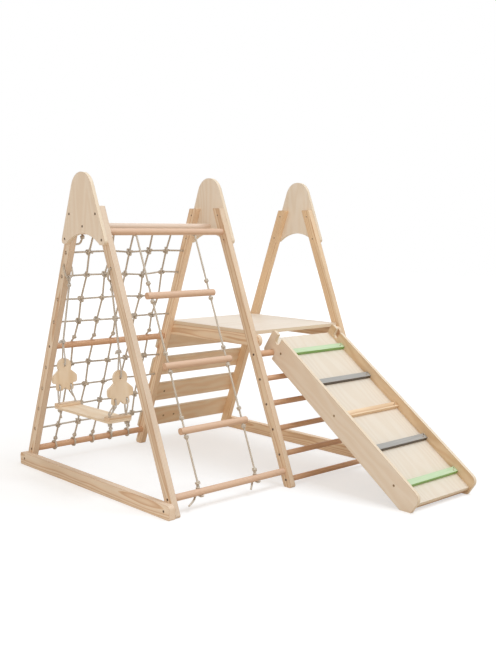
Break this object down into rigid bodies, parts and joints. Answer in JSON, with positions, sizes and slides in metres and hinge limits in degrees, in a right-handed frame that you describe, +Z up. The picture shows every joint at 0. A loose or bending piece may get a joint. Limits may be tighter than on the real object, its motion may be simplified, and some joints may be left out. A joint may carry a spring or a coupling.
{
  "type": "toddler climbing gym with slide ramp",
  "caption": "Wooden toddler climbing gym: A-frames with rope net, rope ladder, swing, deck, climbing wall and a hook-on cleated slide ramp.",
  "frame": {"origin": "centre of the whole gym's bounding box, on the floor", "axes": "+X along the row of frames from the swing end to the ramp end, -Y towards the foot of the ramp, +Z up"},
  "size_m": [1.264, 1.7358, 1.3],
  "materials": {
    "pine": "sanded pine, clear matt varnish",
    "birch_plywood": "sanded birch plywood, clear matt varnish",
    "beech_dowel": "sanded beech, clear matt varnish",
    "green_paint": "pastel green paint on wood, satin",
    "grey_paint": "light grey paint on wood, satin",
    "cotton_rope": "twisted cotton rope",
    "hold_plastic": "textured resin",
    "dark_steel": "bronzed steel, satin"
  },
  "bodies": {
    "gym": {"frame1_leg_front": "pine", "frame1_leg_back": "pine", "frame2_leg_front": "pine", "frame2_leg_back": "pine", "frame3_leg_front": "pine", "frame3_leg_back": "pine", "gable_plate_1": "birch_plywood", "gable_plate_2": "birch_plywood", "gable_plate_3": "birch_plywood", "floor_rail_1": "pine", "floor_rail_3": "pine", "dowel_ridge": "beech_dowel", "dowel_front_top": "beech_dowel", "dowel_front_bottom": "beech_dowel", "dowel_back_top": "beech_dowel", "dowel_back_middle": "beech_dowel", "dowel_back_bottom": "beech_dowel", "rung_hook": "beech_dowel", "rung_1": "beech_dowel", "rung_2": "beech_dowel", "rung_3": "beech_dowel", "rung_4": "beech_dowel", "rung_5": "beech_dowel", "deck_support_2": "pine", "deck_support_3": "pine", "deck": "birch_plywood", "wall_board_1": "birch_plywood", "wall_board_2": "birch_plywood", "wall_board_3": "birch_plywood", "wall_board_4": "birch_plywood", "climbing_holds": "hold_plastic", "climbing_net": "cotton_rope", "ladder_rope_left": "cotton_rope", "ladder_rope_right": "cotton_rope", "ladder_rung_top": "beech_dowel", "ladder_rung_middle": "beech_dowel", "ladder_rung_bottom": "beech_dowel", "swing_hanger_front": "cotton_rope", "swing_hanger_back": "cotton_rope", "gable_screws": "dark_steel", "rail_bolts": "dark_steel", "dowel_screws": "dark_steel", "board_screws": "dark_steel"},
    "swing": {"swing_rope_front": "cotton_rope", "swing_rope_back": "cotton_rope", "swing_figure_front": "birch_plywood", "swing_figure_back": "birch_plywood", "swing_seat": "birch_plywood", "swing_cleats": "pine"},
    "ramp": {"ramp_side_left": "birch_plywood", "ramp_side_right": "birch_plywood", "ramp_bed": "birch_plywood", "ramp_crossbars": "pine", "ramp_cleat_1": "green_paint", "ramp_cleat_2": "grey_paint", "ramp_cleat_3": "pine", "ramp_cleat_4": "grey_paint", "ramp_cleat_5": "green_paint", "ramp_screws": "dark_steel"}
  },
  "joints": [
    {"name": "swing_hinge", "type": "hinge", "parent": "gym", "child": "swing", "pos_m": [-0.566, 0.29489, 0.877], "axis": [0, 1, 0], "range_deg": [-30, 30]},
    {"name": "ramp_hook", "type": "hinge", "parent": "gym", "child": "ramp", "pos_m": [0.328, -0.03663, 0.546], "axis": [-1, 0, 0], "range_deg": [0, 15]}
  ]
}
